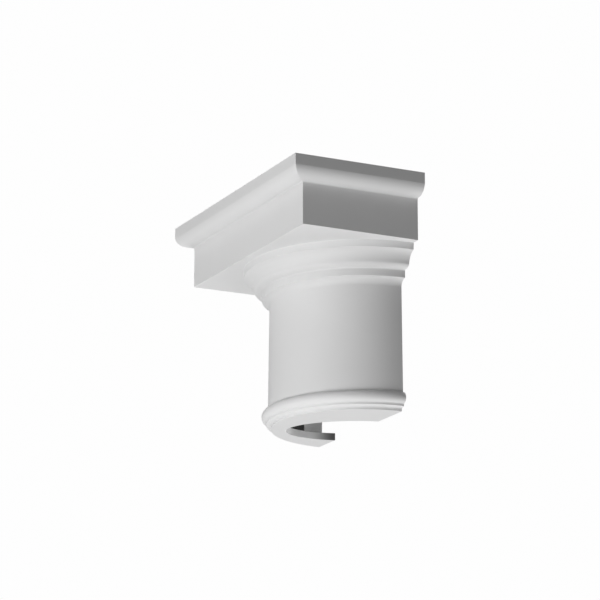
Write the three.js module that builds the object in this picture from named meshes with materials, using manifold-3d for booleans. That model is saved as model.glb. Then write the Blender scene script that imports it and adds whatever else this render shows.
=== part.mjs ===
// A hollow half-round Tuscan capital, moulded in one piece, for the head of a half column on a wall.
// Millimetres, +Z up. The front faces -Y and the open back lies in one plane, towards +Y.

import * as THREE from 'three';
import { mergeVertices } from 'three/addons/utils/BufferGeometryUtils.js';
import Module from 'manifold-3d';

const wasm = await Module();
wasm.setup();

// Driving dimensions. Heights of members are listed from the top down.

const ABACUS_WIDTH = 400;
const ABACUS_DEPTH = 199;
const CROWN_PROJECTION = 21.6; // of the abacus crown beyond the plain block below it
const CROWN_FASCIA = 15;
const CROWN_OVOLO = 16;
const OVOLO_SET = THREE.MathUtils.degToRad(10); // off the upright at the fascia, so that an arris shows there
const OVOLO_FULLNESS = 0.6; // the share of its height and projection that its curve's two handles take
const BLOCK_HEIGHT = 60.8;

const UPPER_BAND_RADIUS = 166; // at the soffit, from which the band leans in to the lip of the cyma
const UPPER_BAND_HEIGHT = 9.9;
const CYMA_TOP_RADIUS = 165.2;
const CYMA_WAIST_RADIUS = 152.4; // where the hollow upper curve turns into the round lower one
const CYMA_HOLLOW_HEIGHT = 16;
const CYMA_HOLLOW_BOW = 2.8; // how far the hollow curve lies inside its chord
const CYMA_ROUND_HEIGHT = 6.8;
const LOWER_BAND_RADIUS = 139.8;
const LOWER_BAND_HEIGHT = 11.5;
const COVE_HEIGHT = 10.5;
const NECK_TOP_RADIUS = 129;
const NECK_FOOT_RADIUS = 130.8;
const NECK_HEIGHT = 150.7;
const TORUS_RADIUS = 8.2; // of the bead's own section
const TORUS_STAND = 0.7; // how far the middle of that section stands out from the neck
const TORUS_HEIGHT = 16; // from the neck down to the fillet under the bead
const FILLET_RADIUS = 133.2;
const FILLET_HEIGHT = 3.9;
const FOOT_COVE_HEIGHT = 3.3;
const FOOT_RADIUS = 126.7;
const FOOT_HEIGHT = 2.6;

// The turned members' axis lies this far behind the back: half the saw cut that parts a full round into two.
const AXIS_SETBACK = 2;

const WALL = 14;
const BOTTOM_PLATE = 10.4;
// The opening in the bottom plate is an oval, set off the capital's axis and turned on plan.
const OPENING = {
  x: -10.6,
  y: -5.8,
  longRadius: 93.8,
  shortRadius: 61.4,
  turn: THREE.MathUtils.degToRad(60),
};

const ROUND_STEPS = 96; // sides of a full circle on plan
const CURVE_STEPS = 4; // half the steps in each curve of a section
const OVERSHOOT = 1; // how far a cutter runs past the face it cuts
const GRID = 1 / 1024; // corners lie on this grid, so faces that should meet do meet

// Heights above the foot, worked out from the members.

const LOWER_MEMBERS = [
  FOOT_HEIGHT, FOOT_COVE_HEIGHT, FILLET_HEIGHT, TORUS_HEIGHT, NECK_HEIGHT, COVE_HEIGHT,
  LOWER_BAND_HEIGHT, CYMA_ROUND_HEIGHT, CYMA_HOLLOW_HEIGHT, UPPER_BAND_HEIGHT,
];
const SOFFIT = LOWER_MEMBERS.reduce((height, member) => height + member, 0);
const TOP = SOFFIT + BLOCK_HEIGHT + CROWN_OVOLO + CROWN_FASCIA;

/** A closed solid from a three.js geometry: corners snapped to a grid and merged, flat slivers left out. */
function solid(geometry) {
  geometry.deleteAttribute('normal');
  geometry.deleteAttribute('uv');
  const position = geometry.attributes.position;
  for (let i = 0; i < position.array.length; i += 1) {
    position.array[i] = Math.round(position.array[i] / GRID) * GRID;
  }
  const merged = mergeVertices(geometry, GRID / 2);
  const corners = merged.index.array;
  const kept = [];
  for (let i = 0; i < corners.length; i += 3) {
    const [a, b, c] = corners.slice(i, i + 3);
    if (a !== b && b !== c && c !== a) kept.push(a, b, c);
  }
  return new wasm.Manifold(new wasm.Mesh({
    numProp: 3,
    vertProperties: new Float32Array(merged.attributes.position.array),
    triVerts: new Uint32Array(kept),
  }));
}

/** A section (radius, height) turned about the upright axis of the round members. */
function turned(path) {
  const points = path.getPoints(CURVE_STEPS);
  const geometry = new THREE.LatheGeometry(points, ROUND_STEPS).rotateX(Math.PI / 2);
  return solid(geometry.translate(0, AXIS_SETBACK, 0));
}

/** An outline (x, z) drawn out from the back plane to a distance in front of it. */
function drawnForward(shape, depth) {
  const curveSegments = 2 * CURVE_STEPS;
  const geometry = new THREE.ExtrudeGeometry(shape, { depth, bevelEnabled: false, curveSegments });
  return geometry.rotateX(Math.PI / 2);
}

/** The section of the mouldings below the abacus, from the axis at the foot to the axis at the soffit. */
function shaftSection() {
  const path = new THREE.Path();
  let height = 0;
  const rise = (member) => (height += member);
  path.moveTo(0, 0);
  path.lineTo(FOOT_RADIUS, 0);
  path.lineTo(FOOT_RADIUS, rise(FOOT_HEIGHT));
  // foot cove: a hollow quarter curve out to the fillet
  path.absellipse(
    FILLET_RADIUS, height, FILLET_RADIUS - FOOT_RADIUS, FOOT_COVE_HEIGHT, Math.PI, Math.PI / 2, true,
  );
  rise(FOOT_COVE_HEIGHT);
  path.lineTo(FILLET_RADIUS, rise(FILLET_HEIGHT));
  // torus: a bead whose upper end meets the neck and whose lower end rests on the fillet
  rise(TORUS_HEIGHT);
  const upperEnd = Math.acos(-TORUS_STAND / TORUS_RADIUS);
  const aboveMiddle = TORUS_RADIUS * Math.sin(upperEnd);
  const lowerEnd = Math.asin((TORUS_HEIGHT - aboveMiddle) / TORUS_RADIUS);
  path.absarc(
    NECK_FOOT_RADIUS + TORUS_STAND, height - aboveMiddle, TORUS_RADIUS, -lowerEnd, upperEnd, false,
  );
  path.lineTo(NECK_TOP_RADIUS, rise(NECK_HEIGHT));
  // cove under the lower band
  path.absellipse(
    LOWER_BAND_RADIUS, height, LOWER_BAND_RADIUS - NECK_TOP_RADIUS, COVE_HEIGHT, Math.PI, Math.PI / 2, true,
  );
  rise(COVE_HEIGHT);
  path.lineTo(LOWER_BAND_RADIUS, rise(LOWER_BAND_HEIGHT));
  // cyma: a round curve below, a shallow hollow one above
  rise(CYMA_ROUND_HEIGHT);
  const roundReach = CYMA_WAIST_RADIUS - LOWER_BAND_RADIUS;
  path.absellipse(LOWER_BAND_RADIUS, height, roundReach, CYMA_ROUND_HEIGHT, -Math.PI / 2, 0, false);
  const waist = new THREE.Vector2(CYMA_WAIST_RADIUS, height);
  const lip = new THREE.Vector2(CYMA_TOP_RADIUS, rise(CYMA_HOLLOW_HEIGHT));
  const chord = lip.clone().sub(waist);
  const inward = new THREE.Vector2(-chord.y, chord.x).setLength(2 * CYMA_HOLLOW_BOW);
  const pull = waist.clone().add(lip).multiplyScalar(0.5).add(inward);
  path.quadraticCurveTo(pull.x, pull.y, lip.x, lip.y);
  path.lineTo(UPPER_BAND_RADIUS, rise(UPPER_BAND_HEIGHT));
  path.lineTo(0, height);
  return path;
}

/** The abacus's edge, from the soffit up: reach is the plain block's, and the crown stands out beyond it. */
function abacusEdge(shape, reach) {
  const ovoloFoot = SOFFIT + BLOCK_HEIGHT;
  const ovoloTop = ovoloFoot + CROWN_OVOLO;
  const crown = reach + CROWN_PROJECTION;
  shape.lineTo(reach, SOFFIT);
  shape.lineTo(reach, ovoloFoot);
  const level = reach + OVOLO_FULLNESS * CROWN_PROJECTION;
  const drop = OVOLO_FULLNESS * CROWN_OVOLO;
  const steep = crown - drop * Math.tan(OVOLO_SET);
  shape.bezierCurveTo(level, ovoloFoot, steep, ovoloTop - drop, crown, ovoloTop);
  shape.lineTo(crown, TOP);
}

/** The abacus: its edge outline, seen from the front and from the side, meets in mitres at the corners. */
function abacus() {
  const fromFront = [1, -1].map((side) => {
    const shape = new THREE.Shape();
    shape.moveTo(0, SOFFIT);
    abacusEdge(shape, ABACUS_WIDTH / 2 - CROWN_PROJECTION);
    shape.lineTo(0, TOP);
    const half = solid(drawnForward(shape, ABACUS_DEPTH));
    return side === 1 ? half : half.mirror([1, 0, 0]);
  });
  const shape = new THREE.Shape();
  shape.moveTo(0, SOFFIT);
  abacusEdge(shape, ABACUS_DEPTH - CROWN_PROJECTION);
  shape.lineTo(0, TOP);
  const drawnSideways = drawnForward(shape, ABACUS_WIDTH).rotateZ(-Math.PI / 2);
  return fromFront[0].add(fromFront[1]).intersect(solid(drawnSideways.translate(ABACUS_WIDTH / 2, 0, 0)));
}

/** A box given by its low and high corners. */
function box(low, high) {
  const size = high.clone().sub(low);
  const middle = low.clone().add(high).multiplyScalar(0.5);
  return solid(new THREE.BoxGeometry(...size).translate(...middle));
}

/** The round hollow: it follows the neck and widens under the mouldings, one wall thickness inside them. */
function shaftHollow() {
  const cymaFoot = SOFFIT - UPPER_BAND_HEIGHT - CYMA_HOLLOW_HEIGHT - CYMA_ROUND_HEIGHT;
  const path = new THREE.Path();
  path.moveTo(0, BOTTOM_PLATE);
  path.lineTo(NECK_FOOT_RADIUS - WALL, BOTTOM_PLATE);
  path.lineTo(NECK_TOP_RADIUS - WALL, cymaFoot - LOWER_BAND_HEIGHT / 2);
  path.lineTo(UPPER_BAND_RADIUS - WALL, SOFFIT);
  path.lineTo(UPPER_BAND_RADIUS - WALL, SOFFIT + WALL + OVERSHOOT);
  path.lineTo(0, SOFFIT + WALL + OVERSHOOT);
  return turned(path);
}

/** The square hollow inside the abacus block, one wall thickness from its faces and its top. */
function blockHollow() {
  const halfWidth = ABACUS_WIDTH / 2 - CROWN_PROJECTION - WALL;
  const front = ABACUS_DEPTH - CROWN_PROJECTION - WALL;
  return box(
    new THREE.Vector3(-halfWidth, -front, SOFFIT + WALL),
    new THREE.Vector3(halfWidth, OVERSHOOT, TOP - WALL),
  );
}

/** The oval opening through the bottom plate. */
function bottomOpening() {
  const oval = new THREE.Shape();
  const { x, y, longRadius, shortRadius, turn } = OPENING;
  oval.absellipse(x, y, longRadius, shortRadius, 0, 2 * Math.PI, false, turn);
  const depth = BOTTOM_PLATE + 2 * OVERSHOOT;
  const curveSegments = ROUND_STEPS / 2;
  const geometry = new THREE.ExtrudeGeometry(oval, { depth, bevelEnabled: false, curveSegments });
  return solid(geometry.translate(0, 0, -OVERSHOOT));
}

const inFrontOfWall = box(
  new THREE.Vector3(-ABACUS_WIDTH, -ABACUS_WIDTH, -OVERSHOOT),
  new THREE.Vector3(ABACUS_WIDTH, 0, TOP + OVERSHOOT),
);
const capital = turned(shaftSection())
  .intersect(inFrontOfWall)
  .add(abacus())
  .subtract(shaftHollow())
  .subtract(blockHollow())
  .subtract(bottomOpening());

/** The three.js geometry of a finished solid. */
function geometryOf(manifold) {
  const mesh = manifold.getMesh();
  const geometry = new THREE.BufferGeometry();
  geometry.setAttribute('position', new THREE.BufferAttribute(mesh.vertProperties, 3));
  geometry.setIndex(new THREE.BufferAttribute(mesh.triVerts, 1));
  geometry.computeVertexNormals();
  return geometry;
}

const primedPolyurethane = new THREE.MeshStandardMaterial({ color: 0xebebea, roughness: 0.6, metalness: 0 });
const half_round_capital = new THREE.Mesh(geometryOf(capital), primedPolyurethane);
half_round_capital.name = 'half_round_capital';
half_round_capital.position.y = ABACUS_DEPTH / 2; // puts the origin under the middle of the bounding box

const group = new THREE.Group();
group.add(half_round_capital);

export default group;
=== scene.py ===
"""A half-round Tuscan capital in primed rigid polyurethane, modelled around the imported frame."""

import math

import bmesh
import bpy
from mathutils import Matrix, Vector
from mathutils.geometry import interpolate_bezier


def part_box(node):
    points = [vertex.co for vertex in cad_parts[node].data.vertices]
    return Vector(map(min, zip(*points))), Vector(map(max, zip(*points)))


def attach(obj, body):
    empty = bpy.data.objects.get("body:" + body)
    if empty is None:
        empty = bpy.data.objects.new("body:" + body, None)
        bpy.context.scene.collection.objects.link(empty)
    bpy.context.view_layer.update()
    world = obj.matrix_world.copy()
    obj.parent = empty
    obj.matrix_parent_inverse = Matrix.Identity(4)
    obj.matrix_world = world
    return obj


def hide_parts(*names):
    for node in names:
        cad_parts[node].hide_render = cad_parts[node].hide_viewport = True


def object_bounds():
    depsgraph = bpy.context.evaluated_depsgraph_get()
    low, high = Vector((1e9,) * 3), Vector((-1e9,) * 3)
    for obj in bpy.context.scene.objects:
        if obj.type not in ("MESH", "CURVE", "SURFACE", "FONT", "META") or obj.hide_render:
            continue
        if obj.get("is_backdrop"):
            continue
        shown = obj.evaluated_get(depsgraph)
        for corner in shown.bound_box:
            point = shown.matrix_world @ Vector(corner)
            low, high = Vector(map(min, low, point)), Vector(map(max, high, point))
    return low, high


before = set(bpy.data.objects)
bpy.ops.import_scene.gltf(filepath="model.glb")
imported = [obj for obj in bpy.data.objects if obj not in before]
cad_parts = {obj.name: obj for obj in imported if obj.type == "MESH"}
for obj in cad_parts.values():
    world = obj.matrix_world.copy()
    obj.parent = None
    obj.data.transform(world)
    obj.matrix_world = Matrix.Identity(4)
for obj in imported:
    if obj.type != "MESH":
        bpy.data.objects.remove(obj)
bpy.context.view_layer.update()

# Sizes, in metres. The overall box comes from the frame; the members are listed from the top down.

NODE = "half_round_capital"
low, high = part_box(NODE)
WALL_Y = high.y  # the plane of the wall, which the open back lies in
TOP = high.z
HALF_WIDTH = high.x
DEPTH = high.y - low.y

CROWN_PROJECTION = 0.0216
CROWN_FASCIA = 0.015
CROWN_OVOLO = 0.016
OVOLO_SET = math.radians(10)  # off the upright at the fascia, so that an arris shows there
OVOLO_FULLNESS = 0.6  # the share of its height and projection that its curve's two handles take
OVOLO_FILLET = 0.0025  # the rounding of the corner under it, which the mould and the primer fill
BLOCK_HEIGHT = 0.0608
UPPER_BAND_RADIUS = 0.166  # at the soffit, from which the band leans in to the lip of the cyma
UPPER_BAND_HEIGHT = 0.0099
CYMA_TOP_RADIUS = 0.1652
CYMA_WAIST_RADIUS = 0.1524
CYMA_HOLLOW_HEIGHT = 0.016
CYMA_HOLLOW_BOW = 0.0028
CYMA_ROUND_HEIGHT = 0.0068
LOWER_BAND_RADIUS = 0.1398
LOWER_BAND_HEIGHT = 0.0115
COVE_HEIGHT = 0.0105
NECK_TOP_RADIUS = 0.129
NECK_FOOT_RADIUS = 0.1308
NECK_HEIGHT = 0.1507
BEAD_RADIUS = 0.0082  # of its own section
BEAD_STAND = 0.0007  # how far the middle of that section stands out from the neck
BEAD_HEIGHT = 0.016
FILLET_RADIUS = 0.1332
FILLET_HEIGHT = 0.0039
FOOT_COVE_HEIGHT = 0.0033
FOOT_RADIUS = 0.1267
FOOT_HEIGHT = 0.0026

AXIS_SETBACK = 0.002  # half the saw cut that parts a full round into two: the axis lies behind the wall
AXIS = Vector((0, WALL_Y + AXIS_SETBACK, 0))
SHELL = 0.014
BOTTOM_PLATE = 0.0104
OPENING_CENTRE = Vector((-0.0106, WALL_Y - 0.0058, 0))
OPENING_LONG, OPENING_SHORT = 0.0938, 0.0614
OPENING_TURN = math.radians(60)

ARRIS = 0.0005  # the softening of the abacus's edges, left by the mould and two coats of primer
SOFT_ARRIS = 0.0012  # the same on the turned members, which are rubbed down on the pattern as it turns
CREASE_FILL = 0.0024  # the rounding of the creases between them, which the primer fills
CORE_ROUND = 0.005  # the rounding of the mould's core, which leaves the hollow
TURN_STEPS = 256  # sides of a full circle
SPARE = 0.02  # what is left over behind the wall plane until the back is trimmed
MERGE = 0.00002  # corners closer than this are one
SHARP_EDGE = math.radians(32)
PRIMER_WHITE = "#EFEFEF"
EDGE_SHADE_GREY = "#5A5A5A"  # charcoal foam with a dusting of primer
EDGE_FADE = 0.042  # painted shade: the grey the opening's edge darkens to at the wall
OVERSPRAY = 0.031  # how far primer is blown into the hollow from the open back
FEATHER = 0.001  # half the width over which it thins out to nothing
PEEL_RELIEF = 0.00001  # depths of the fine relief of each finish
GRAIN_RELIEF = 0.00002
PORE_RELIEF = 0.00015

MIX_FROM, MIX_TO, MIX_RESULT = 6, 7, 2  # a Mix node's colour sockets, whose names aren't unique

# The studio, in metres and degrees.

AIM = Vector((0.0061, 0.0032, 0.1765))
VIEW_AZIMUTH, VIEW_ELEVATION = 63.68, -15.35
VIEW_DISTANCE = 4.1414
SENSOR_MM, LENS_MM = 36, 176.27
FLOOR_Z = -2.4
FLOOR_SIZE = 200
TOP_WASH_STRENGTH = 2.2  # watts per square metre
TOP_WASH_SPREAD = 4
BACKDROP_LEVEL = 0.99
SOFT_BOX_DISTANCE = 2.0
SOFT_BOX_SIZE = 1.2
SOFT_BOXES = [  # name, azimuth, elevation, power in watts
    ("key", 15, -30, 26),
    ("under", 0, -89, 10),
    ("high_front", 0, 30, 10),
    ("low_back", 210, -60, 8.5),
    ("right", 105, -30, 6.5),
    ("left", 270, -10, 3.5),
    ("back", 182, -3, 23),
]

SOFFIT = TOP - CROWN_FASCIA - CROWN_OVOLO - BLOCK_HEIGHT
BLOCK_HALF_WIDTH = HALF_WIDTH - CROWN_PROJECTION
BLOCK_DEPTH = DEPTH - CROWN_PROJECTION


# ---- outlines -------------------------------------------------------------------------------


class Outline:
    """A moulding's section as (reach, height) points, drawn member by member."""

    def __init__(self, reach, height):
        self.points = [Vector((reach, height))]

    @property
    def end(self):
        return self.points[-1]

    def to(self, reach, height):
        self.points.append(Vector((reach, height)))
        return self

    def rise(self, height):
        return self.to(self.end.x, self.end.y + height)

    def quarter(self, reach, height, start_upright, steps=12):
        """A quarter of an ellipse to a point, which leaves upright or level and arrives the other way."""
        start, run = self.end.copy(), Vector((reach, height)) - self.end
        for i in range(1, steps + 1):
            angle = math.pi / 2 * i / steps
            turn = (1 - math.cos(angle), math.sin(angle))
            across, up = turn if start_upright else reversed(turn)
            self.to(start.x + run.x * across, start.y + run.y * up)
        return self

    def bow(self, reach, height, depth, steps=14):
        """A shallow curve to a point, depth to the left of the straight line there."""
        start, finish = self.end.copy(), Vector((reach, height))
        along = finish - start
        pull = (start + finish) / 2 + Vector((-along.y, along.x)).normalized() * 2 * depth
        for i in range(1, steps + 1):
            t = i / steps
            self.to(*((1 - t) ** 2 * start + 2 * t * (1 - t) * pull + t * t * finish))
        return self

    def arc(self, centre, radius, start, finish, steps=20):
        """An arc of a circle from one angle to another, as seen with reach to the right."""
        for i in range(steps + 1):
            angle = start + (finish - start) * i / steps
            self.to(centre.x + radius * math.cos(angle), centre.y + radius * math.sin(angle))
        return self


def eased(points, arris, crease, sharpest=math.radians(24), steps=5):
    """The outline with each corner that turns by more than sharpest softened.

    arris is about the radius of those that turn left, which stand out, and crease of those that
    turn right.
    """

    def walk(path, distance):
        """How many of the path's points lie within a distance, and the point at that distance."""
        gone = 0.0
        for i in range(1, len(path)):
            step = (path[i] - path[i - 1]).length
            if gone + step >= distance:
                return i, path[i - 1].lerp(path[i], (distance - gone) / step)
            gone += step
        return len(path) - 1, path[-1]

    soft, i = [points[0]], 1
    while i < len(points) - 1:
        corner = points[i]
        before, after = corner - points[i - 1], points[i + 1] - corner
        turn = before.angle(after, 0)
        if turn < sharpest:
            soft.append(corner)
            i += 1
            continue
        radius = arris if before.cross(after) > 0 else crease
        reach = radius * math.tan(turn / 2)
        back, start = walk([corner, *reversed(soft)], reach)
        ahead, finish = walk(points[i:], reach)
        del soft[len(soft) - back + 1 :]
        for k in range(steps + 1):
            t = k / steps
            soft.append((1 - t) ** 2 * start + 2 * t * (1 - t) * corner + t * t * finish)
        i += ahead
    return [*soft, points[-1]]


def round_members():
    """The turned mouldings, from the axis at the foot to the axis above the soffit."""
    line = Outline(0, 0).to(FOOT_RADIUS - ARRIS, 0)
    line.quarter(FOOT_RADIUS, ARRIS, start_upright=False, steps=5)
    line.to(FOOT_RADIUS, FOOT_HEIGHT)
    line.quarter(FILLET_RADIUS, line.end.y + FOOT_COVE_HEIGHT, start_upright=True, steps=6)
    line.rise(FILLET_HEIGHT)
    upper_end = math.acos(-BEAD_STAND / BEAD_RADIUS)
    above_middle = BEAD_RADIUS * math.sin(upper_end)
    lower_end = -math.asin((BEAD_HEIGHT - above_middle) / BEAD_RADIUS)
    middle = Vector((NECK_FOOT_RADIUS + BEAD_STAND, line.end.y + BEAD_HEIGHT - above_middle))
    line.arc(middle, BEAD_RADIUS, lower_end, upper_end)
    line.to(NECK_TOP_RADIUS, line.end.y + NECK_HEIGHT)
    line.quarter(LOWER_BAND_RADIUS, line.end.y + COVE_HEIGHT, start_upright=True)
    line.rise(LOWER_BAND_HEIGHT)
    line.quarter(CYMA_WAIST_RADIUS, line.end.y + CYMA_ROUND_HEIGHT, start_upright=False)
    line.bow(CYMA_TOP_RADIUS, line.end.y + CYMA_HOLLOW_HEIGHT, CYMA_HOLLOW_BOW)
    line.to(UPPER_BAND_RADIUS, line.end.y + UPPER_BAND_HEIGHT).rise(SHELL / 2)
    return [*eased(line.points, SOFT_ARRIS, CREASE_FILL), Vector((0, line.end.y))]


def abacus_members():
    """The abacus's edge, from the soffit up: how far it stands out beyond the plain block."""
    edge = Outline(-SHELL, SOFFIT).to(0, SOFFIT).rise(BLOCK_HEIGHT - OVOLO_FILLET)
    edge.quarter(OVOLO_FILLET, SOFFIT + BLOCK_HEIGHT, start_upright=True, steps=6)
    foot, top = edge.end, Vector((CROWN_PROJECTION, edge.end.y + CROWN_OVOLO))
    level = Vector((OVOLO_FULLNESS * CROWN_PROJECTION, foot.y))
    drop = OVOLO_FULLNESS * CROWN_OVOLO
    steep = top - Vector((drop * math.tan(OVOLO_SET), drop))
    for point in interpolate_bezier(foot, level, steep, top, 20)[1:]:
        edge.to(*point)
    edge.to(CROWN_PROJECTION, TOP).to(CROWN_PROJECTION - SHELL, TOP)
    return eased(edge.points, ARRIS, ARRIS)[1:-1]


def round_hollow_members():
    """The hollow inside the turned mouldings, one shell thickness in from them."""
    foot_of_cyma = SOFFIT - UPPER_BAND_HEIGHT - CYMA_HOLLOW_HEIGHT - CYMA_ROUND_HEIGHT
    line = Outline(0, BOTTOM_PLATE).to(NECK_FOOT_RADIUS - SHELL, BOTTOM_PLATE)
    line.to(NECK_TOP_RADIUS - SHELL, foot_of_cyma - LOWER_BAND_HEIGHT / 2)
    line.to(UPPER_BAND_RADIUS - SHELL, SOFFIT)
    line.rise(SHELL + SPARE)
    return [*eased(line.points, CORE_ROUND, CORE_ROUND, steps=8), Vector((0, line.end.y))]


# ---- modelling ------------------------------------------------------------------------------


def begin(name, primitive, **shape):
    """A new primitive, alone in the selection, with its place in its mesh, open in edit mode."""
    bpy.ops.object.select_all(action="DESELECT")
    primitive(**shape)
    piece = bpy.context.object
    piece.name = piece.data.name = name
    bpy.ops.object.transform_apply(location=True, rotation=True, scale=True)
    bpy.ops.object.mode_set(mode="EDIT")
    bpy.ops.mesh.select_mode(type="VERT")
    return piece


def close(piece):
    """Merges what is double, turns the faces outwards and leaves edit mode."""
    bpy.ops.mesh.select_all(action="SELECT")
    bpy.ops.mesh.remove_doubles(threshold=MERGE)
    bpy.ops.mesh.normals_make_consistent(inside=False)
    bpy.ops.object.mode_set(mode="OBJECT")
    return piece


def turned(name, section):
    """A solid turned about the column's axis: its section is drawn as a wire and spun all the way."""
    start = (section[0].x, AXIS.y, section[0].y)
    solid = begin(name, bpy.ops.mesh.primitive_plane_add, size=0.01, location=start)
    bpy.ops.mesh.merge(type="CENTER")
    for here, there in zip(section, section[1:]):
        step = (there.x - here.x, 0, there.y - here.y)
        bpy.ops.mesh.extrude_region_move(TRANSFORM_OT_translate={"value": step})
    bpy.ops.mesh.select_all(action="SELECT")
    bpy.ops.mesh.spin(steps=TURN_STEPS, angle=math.tau, center=AXIS, axis=(0, 0, 1))
    return close(solid)


def stretch(factors, pivot, turn=0.0):
    """Resizes what is selected about a pivot, along axes turned about Z."""
    bpy.ops.transform.resize(
        value=factors,
        orient_type="GLOBAL",
        orient_matrix=Matrix.Rotation(turn, 3, "Z"),
        orient_matrix_type="GLOBAL",
        center_override=(pivot.x, pivot.y, 0),
    )


def raise_face(section, half_x, half_y, pivot, turn=0.0):
    """Extrudes the selected face up a section, whose reach moves the sides out from the pivot.

    half_x and half_y are how far from the pivot the sides are where the reach is nothing.
    """
    for here, there in zip(section, section[1:]):
        lift = (0, 0, there.y - here.y)
        bpy.ops.mesh.extrude_region_move(TRANSFORM_OT_translate={"value": lift})
        grown_x = (half_x + there.x) / (half_x + here.x)
        grown_y = (half_y + there.x) / (half_y + here.x)
        stretch((grown_x, grown_y, 1), pivot, turn)


def select_in_edit(piece, kind, wanted):
    """Selects only the vertices, edges or faces whose places satisfy wanted."""
    bpy.ops.mesh.select_mode(type=kind)
    bpy.ops.mesh.select_all(action="DESELECT")
    mesh = bmesh.from_edit_mesh(piece.data)
    for element in {"VERT": mesh.verts, "EDGE": mesh.edges, "FACE": mesh.faces}[kind]:
        corners = [element] if kind == "VERT" else element.verts
        if all(wanted(corner.co) for corner in corners):
            element.select_set(True)
    bmesh.update_edit_mesh(piece.data)


def combine(piece, other, operation):
    """Joins another solid to a piece or cuts it away, and does away with the other."""
    step = piece.modifiers.new(operation.title(), "BOOLEAN")
    step.object, step.operation, step.solver = other, operation, "EXACT"
    step.material_mode = "TRANSFER"
    bpy.context.view_layer.objects.active = piece
    bpy.ops.object.modifier_apply(modifier=step.name)
    bpy.data.objects.remove(other)


def make_abacus():
    """The square block and its moulded crown, mitred at the front corners, with spare behind the wall."""
    back, depth = Vector((0, WALL_Y + SPARE)), BLOCK_DEPTH + SPARE
    section = abacus_members()
    abacus = begin(
        "abacus", bpy.ops.mesh.primitive_plane_add, size=1, location=(0, back.y - 0.5, section[0].y)
    )
    stretch((2 * (BLOCK_HALF_WIDTH + section[0].x), depth + section[0].x, 1), back)
    select_in_edit(abacus, "VERT", lambda place: place.y < WALL_Y)
    bpy.ops.mesh.bevel(offset=ARRIS, segments=5, affect="VERTICES")
    bpy.ops.mesh.select_mode(type="FACE")
    bpy.ops.mesh.select_all(action="SELECT")
    raise_face(section, BLOCK_HALF_WIDTH, depth, back)
    return close(abacus)


def make_abacus_hollow():
    """The core that leaves the block hollow, with rounded edges."""
    half_x = BLOCK_HALF_WIDTH - SHELL
    front, back = WALL_Y - BLOCK_DEPTH + SHELL, WALL_Y + SPARE / 2
    bottom, top = SOFFIT + SHELL, TOP - SHELL
    core = begin(
        "abacus_core",
        bpy.ops.mesh.primitive_cube_add,
        size=1,
        location=(0, (front + back) / 2, (bottom + top) / 2),
        scale=(2 * half_x, back - front, top - bottom),
    )
    bpy.ops.mesh.bevel(offset=CORE_ROUND, segments=6, affect="EDGES")
    return close(core)


def make_opening():
    """The turned oval that opens the bottom plate, flared so that both of its rims come out eased."""
    wall = Outline(ARRIS, -SPARE).to(ARRIS, 0)
    wall.quarter(0, ARRIS, start_upright=False, steps=5)
    wall.to(0, BOTTOM_PLATE - ARRIS)
    wall.quarter(ARRIS, BOTTOM_PLATE, start_upright=True, steps=5)
    wall.to(ARRIS, BOTTOM_PLATE + SPARE)
    start = wall.points[0]
    opening = begin(
        "foot_opening",
        bpy.ops.mesh.primitive_circle_add,
        vertices=TURN_STEPS,
        radius=1,
        fill_type="NGON",
        location=(OPENING_CENTRE.x, OPENING_CENTRE.y, start.y),
    )
    stretch((OPENING_LONG + start.x, OPENING_SHORT + start.x, 1), OPENING_CENTRE, OPENING_TURN)
    raise_face(wall.points, OPENING_LONG, OPENING_SHORT, OPENING_CENTRE, OPENING_TURN)
    return close(opening)


def cut_at_wall(capital, primer):
    """Cuts the capital off flat in the plane of the wall, and primes the flat back that this leaves."""
    bpy.ops.object.mode_set(mode="EDIT")
    bpy.ops.mesh.select_all(action="SELECT")
    bpy.ops.mesh.bisect(
        plane_co=(0, WALL_Y, 0), plane_no=(0, 1, 0), use_fill=True, clear_outer=True, threshold=MERGE
    )
    bpy.ops.mesh.select_all(action="SELECT")
    bpy.ops.mesh.remove_doubles(threshold=MERGE)
    select_in_edit(capital, "FACE", lambda place: abs(place.y - WALL_Y) < MERGE)
    capital.active_material_index = capital.data.materials.find(primer.name)
    bpy.ops.object.material_slot_assign()
    bpy.ops.object.mode_set(mode="OBJECT")


def shade_smooth(piece):
    """Shades the curves smooth and keeps the flat faces between them flat."""
    bpy.ops.object.select_all(action="DESELECT")
    piece.select_set(True)
    bpy.ops.object.shade_smooth_by_angle(angle=SHARP_EDGE)
    shading = piece.modifiers.new("Flat faces stay flat", "WEIGHTED_NORMAL")
    shading.keep_sharp = True
    bpy.ops.object.modifier_apply(modifier=shading.name)


def make_capital(primer, edge, hollow_shade):
    """The whole capital: one moulded shell, open at the wall and at the foot."""
    capital = turned("capital", round_members())
    capital.data.materials.append(primer)
    abacus = make_abacus()
    abacus.data.materials.append(primer)
    combine(capital, abacus, "UNION")
    for core in (turned("round_core", round_hollow_members()), make_abacus_hollow()):
        # the hollow's inside takes a near-black painted shade
        core.data.materials.append(hollow_shade)
        combine(capital, core, "DIFFERENCE")
    opening = make_opening()
    # the opening's edge takes a grey painted shade towards the wall
    opening.data.materials.append(edge)
    combine(capital, opening, "DIFFERENCE")
    cut_at_wall(capital, primer)
    shade_smooth(capital)

    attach(capital, "root")
    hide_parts(NODE)


# ---- finishes -------------------------------------------------------------------------------


def srgb(code):
    """An sRGB hex colour as linear red, green, blue and alpha."""
    parts = [int(code[i : i + 2], 16) / 255 for i in (1, 3, 5)]
    return [c / 12.92 if c <= 0.04045 else ((c + 0.055) / 1.055) ** 2.4 for c in parts] + [1.0]


def add(tree, kind, inputs=None, **settings):
    """Adds a node with its own settings; each input is a plain value or another node's output."""
    made = tree.nodes.new(kind)
    for name, value in settings.items():
        setattr(made, name, value)
    for name, value in (inputs or {}).items():
        if isinstance(value, bpy.types.NodeSocket):
            tree.links.new(value, made.inputs[name])
        else:
            made.inputs[name].default_value = value
    return made


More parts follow.
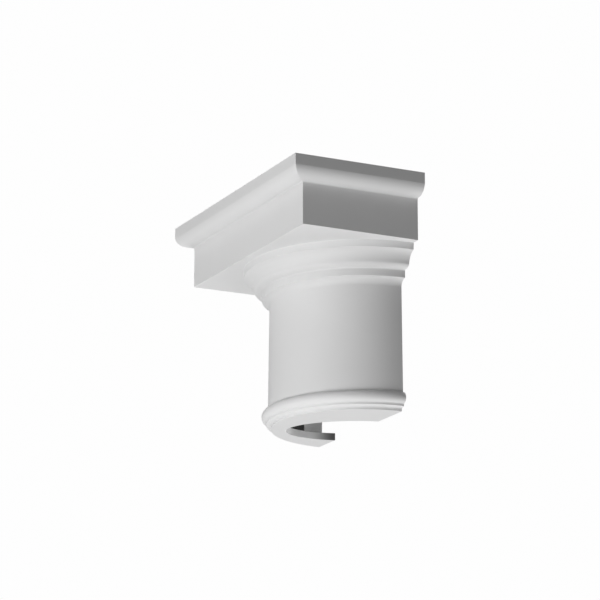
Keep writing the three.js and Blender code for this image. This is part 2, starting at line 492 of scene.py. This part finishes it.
def new_material(name):
    """An empty material, its node tree and the place of each shaded point in the row frame."""
    material = bpy.data.materials.new(name)
    material.use_nodes = True
    material.node_tree.nodes.clear()
    place = add(material.node_tree, "ShaderNodeTexCoord").outputs["Object"]
    return material, material.node_tree, place


def per_metre(size_mm):
    """The scale of a pattern whose grain has this size."""
    return 1000 / size_mm


def finish(tree, inputs):
    """Ends a material in a Principled BSDF with these inputs."""
    surface = add(tree, "ShaderNodeBsdfPrincipled", inputs)
    add(tree, "ShaderNodeOutputMaterial", {"Surface": surface.outputs["BSDF"]})


def matt_primer():
    """Matt white primer sprayed on moulded rigid polyurethane: two coats over the mould's own skin.

    It gives an even, chalky white with no gloss, a faint orange peel, and a tone that drifts by a
    hair's breadth where the coats are thicker.
    """
    material, tree, place = new_material("sprayed_matt_white_primer")
    drift = add(tree, "ShaderNodeTexNoise", {"Vector": place, "Scale": per_metre(70), "Detail": 2.0})
    base_tone = add(
        tree,
        "ShaderNodeMix",
        {"Factor": drift.outputs["Fac"], MIX_FROM: srgb("#EBEBEB"), MIX_TO: srgb(PRIMER_WHITE)},
        data_type="RGBA",
    )
    peel = add(tree, "ShaderNodeTexNoise", {"Vector": place, "Scale": per_metre(1.8), "Detail": 3.0})
    relief = add(
        tree,
        "ShaderNodeBump",
        {"Height": peel.outputs["Fac"], "Strength": 1.0, "Distance": PEEL_RELIEF},
    )
    finish(
        tree,
        {
            "Base Color": base_tone.outputs[MIX_RESULT],
            "Roughness": 0.62,
            "IOR": 1.5,
            "Normal": relief.outputs["Normal"],
        },
    )
    return material


def shaded_opening_edge():
    """The foam edge of the opening under the foot, sawn out of the bottom plate.

    Its white turns to a grey painted shade towards the wall, where the edge lies in shade, and it
    has a fine open grain.
    """
    material, tree, place = new_material("opening_edge_painted_shade")
    depth = add(tree, "ShaderNodeSeparateXYZ", {"Vector": place})
    # painted shade: the edge turns darker towards the wall
    painted_shade = add(
        tree,
        "ShaderNodeMapRange",
        {"Value": depth.outputs["Y"], "From Min": WALL_Y - EDGE_FADE, "From Max": WALL_Y},
        interpolation_type="SMOOTHSTEP",
    )
    base_tone = add(
        tree,
        "ShaderNodeMix",
        {"Factor": painted_shade.outputs["Result"], MIX_FROM: srgb(PRIMER_WHITE), MIX_TO: srgb(EDGE_SHADE_GREY)},
        data_type="RGBA",
    )
    grain = add(tree, "ShaderNodeTexNoise", {"Vector": place, "Scale": per_metre(0.8), "Detail": 2.0})
    relief = add(
        tree,
        "ShaderNodeBump",
        {"Height": grain.outputs["Fac"], "Strength": 1.0, "Distance": GRAIN_RELIEF},
    )
    finish(
        tree,
        {
            "Base Color": base_tone.outputs[MIX_RESULT],
            "Roughness": 0.7,
            "IOR": 1.5,
            "Normal": relief.outputs["Normal"],
        },
    )
    return material


def hollow_inside_shaded():
    """The inside of the hollow, painted near-black as shade, with primer blown in at the open back.

    It gives a dark surface pitted with small pores, and a white lip where the spray reached.
    """
    material, tree, place = new_material("hollow_inside_painted_shade_with_primer_lip")
    cloud = add(tree, "ShaderNodeTexNoise", {"Vector": place, "Scale": per_metre(35), "Detail": 4.0})
    # painted shade: near-black where the hollow's inside lies in shade
    painted_shade = add(
        tree,
        "ShaderNodeMix",
        {"Factor": cloud.outputs["Fac"], MIX_FROM: srgb("#141515"), MIX_TO: srgb("#1E1F1F")},
        data_type="RGBA",
    )
    depth = add(tree, "ShaderNodeSeparateXYZ", {"Vector": place})
    reach = WALL_Y - OVERSPRAY
    sprayed = add(
        tree,
        "ShaderNodeMapRange",
        {"Value": depth.outputs["Y"], "From Min": reach - FEATHER, "From Max": reach + FEATHER},
    )
    shade_and_lip = add(
        tree,
        "ShaderNodeMix",
        {
            "Factor": sprayed.outputs["Result"],
            MIX_FROM: painted_shade.outputs[MIX_RESULT],
            MIX_TO: srgb(PRIMER_WHITE),
        },
        data_type="RGBA",
    )
    pores = add(tree, "ShaderNodeTexVoronoi", {"Vector": place, "Scale": per_metre(3.5)})
    relief = add(
        tree,
        "ShaderNodeBump",
        {"Height": pores.outputs["Distance"], "Strength": 1.0, "Distance": PORE_RELIEF},
    )
    finish(
        tree,
        {
            "Base Color": shade_and_lip.outputs[MIX_RESULT],
            "Roughness": 0.75,
            "IOR": 1.5,
            "Normal": relief.outputs["Normal"],
        },
    )
    return material


def floor_paint():
    """Pale matt floor paint, with the faint cloudiness of a rolled coat."""
    material, tree, place = new_material("pale_matt_floor_paint")
    cloud = add(tree, "ShaderNodeTexNoise", {"Vector": place, "Scale": per_metre(400), "Detail": 3.0})
    base_tone = add(
        tree,
        "ShaderNodeMix",
        {"Factor": cloud.outputs["Fac"], MIX_FROM: srgb("#E9E9E7"), MIX_TO: srgb("#F0F0EE")},
        data_type="RGBA",
    )
    finish(tree, {"Base Color": base_tone.outputs[MIX_RESULT], "Roughness": 0.8})
    return material


# ---- the studio -----------------------------------------------------------------------------


def direction(azimuth, elevation):
    """From the object towards a place: azimuth 0 is straight in front of it and 90 is on its +X side."""
    a, e = math.radians(azimuth), math.radians(elevation)
    return Vector((math.sin(a) * math.cos(e), -math.cos(a) * math.cos(e), math.sin(e)))


def make_camera():
    """A long lens, low and to the right, looking up at the mouldings."""
    back = direction(VIEW_AZIMUTH, VIEW_ELEVATION)
    data = bpy.data.cameras.new("camera")
    data.sensor_width, data.lens = SENSOR_MM, LENS_MM
    camera = bpy.data.objects.new("camera", data)
    camera.location = AIM + back * VIEW_DISTANCE
    camera.rotation_euler = (-back).to_track_quat("-Z", "Y").to_euler()
    bpy.context.scene.collection.objects.link(camera)
    bpy.context.scene.camera = camera


def make_soft_box(name, azimuth, elevation, power):
    """A square soft box that faces the object from SOFT_BOX_DISTANCE away."""
    data = bpy.data.lights.new(name, "AREA")
    data.size, data.energy = SOFT_BOX_SIZE, power
    box = bpy.data.objects.new(name, data)
    towards = direction(azimuth, elevation)
    box.location = AIM + towards * SOFT_BOX_DISTANCE
    box.rotation_euler = towards.to_track_quat("Z", "Y").to_euler()
    box.visible_camera = False
    bpy.context.scene.collection.objects.link(box)


def make_world():
    """A white backdrop that only the camera sees, so it throws no light on the capital."""
    world = bpy.data.worlds.new("studio")
    world.use_nodes = True
    tree = world.node_tree
    tree.nodes.clear()
    seen = add(tree, "ShaderNodeLightPath").outputs["Is Camera Ray"]
    level = add(
        tree, "ShaderNodeMath", {0: seen, 1: BACKDROP_LEVEL}, operation="MULTIPLY"
    ).outputs["Value"]
    backdrop = add(tree, "ShaderNodeBackground", {"Color": (1, 1, 1, 1), "Strength": level})
    add(tree, "ShaderNodeOutputWorld", {"Surface": backdrop.outputs["Background"]})
    bpy.context.scene.world = world


def make_top_wash():
    """A narrow, even light from straight above, which makes the floor pale and lights the abacus's top."""
    data = bpy.data.lights.new("top_wash", "SUN")
    data.energy, data.angle = TOP_WASH_STRENGTH, math.radians(TOP_WASH_SPREAD)
    wash = bpy.data.objects.new("top_wash", data)
    bpy.context.scene.collection.objects.link(wash)


def make_floor():
    """A wide pale floor far below the capital, which hangs at the height of a column's top.

    The soft boxes do the lighting, so the floor throws no light back up at it.
    """
    bpy.ops.object.select_all(action="DESELECT")
    bpy.ops.mesh.primitive_plane_add(size=FLOOR_SIZE, location=(0, 0, FLOOR_Z))
    floor = bpy.context.object
    floor.name = "floor"
    bpy.ops.object.transform_apply(location=True)
    floor.visible_diffuse = floor.visible_glossy = False
    floor.data.materials.append(floor_paint())
    floor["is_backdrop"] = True


make_camera()
make_world()
make_floor()
make_top_wash()
for soft_box in SOFT_BOXES:
    make_soft_box(*soft_box)
bpy.context.scene.view_settings.view_transform = "Standard"

make_capital(matt_primer(), shaded_opening_edge(), hollow_inside_shaded())

low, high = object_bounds()
